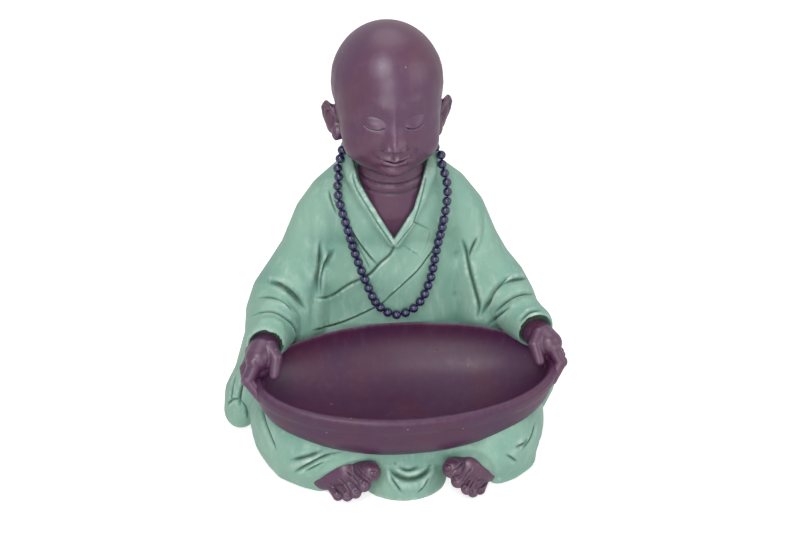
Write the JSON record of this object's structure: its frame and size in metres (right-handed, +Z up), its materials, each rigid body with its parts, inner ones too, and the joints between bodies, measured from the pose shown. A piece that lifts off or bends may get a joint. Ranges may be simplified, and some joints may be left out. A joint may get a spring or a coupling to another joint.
{
  "type": "buddhist monk figurine",
  "caption": "Seated child monk in a draped robe holding a wide oval offering bowl in the lap, with a string of round beads.",
  "frame": {"origin": "on the flat underside, under the middle of the seated figure", "axes": "+Z up, the figure faces -Y, +X towards the viewer's right"},
  "size_m": [0.1787, 0.1391, 0.2397],
  "materials": {
    "robe_paint": "satin paint over cast resin, dark wash in the folds",
    "bead_paint": "satin dark violet-blue beads",
    "thread_cord": "dark twisted thread"
  },
  "bodies": {
    "root": {"monk_figure": "robe_paint", "bead_01": "bead_paint", "bead_02": "bead_paint", "bead_03": "bead_paint", "bead_04": "bead_paint", "bead_05": "bead_paint", "bead_06": "bead_paint", "bead_07": "bead_paint", "bead_08": "bead_paint", "bead_09": "bead_paint", "bead_10": "bead_paint", "bead_11": "bead_paint", "bead_12": "bead_paint", "bead_13": "bead_paint", "bead_14": "bead_paint", "bead_15": "bead_paint", "bead_16": "bead_paint", "bead_17": "bead_paint", "bead_18": "bead_paint", "bead_19": "bead_paint", "bead_20": "bead_paint", "bead_21": "bead_paint", "bead_22": "bead_paint", "bead_23": "bead_paint", "bead_24": "bead_paint", "bead_25": "bead_paint", "bead_26": "bead_paint", "bead_27": "bead_paint", "bead_28": "bead_paint", "bead_29": "bead_paint", "bead_30": "bead_paint", "bead_31": "bead_paint", "bead_32": "bead_paint", "bead_33": "bead_paint", "bead_34": "bead_paint", "bead_35": "bead_paint", "bead_36": "bead_paint", "bead_37": "bead_paint", "bead_38": "bead_paint", "bead_39": "bead_paint", "bead_40": "bead_paint", "bead_41": "bead_paint", "bead_42": "bead_paint", "bead_43": "bead_paint", "bead_44": "bead_paint", "bead_45": "bead_paint", "bead_46": "bead_paint", "bead_47": "bead_paint", "bead_48": "bead_paint", "bead_49": "bead_paint", "bead_50": "bead_paint", "bead_51": "bead_paint", "bead_52": "bead_paint", "bead_53": "bead_paint", "bead_54": "bead_paint", "bead_55": "bead_paint", "bead_56": "bead_paint", "bead_57": "bead_paint", "necklace_thread": "thread_cord"}
  },
  "joints": []
}
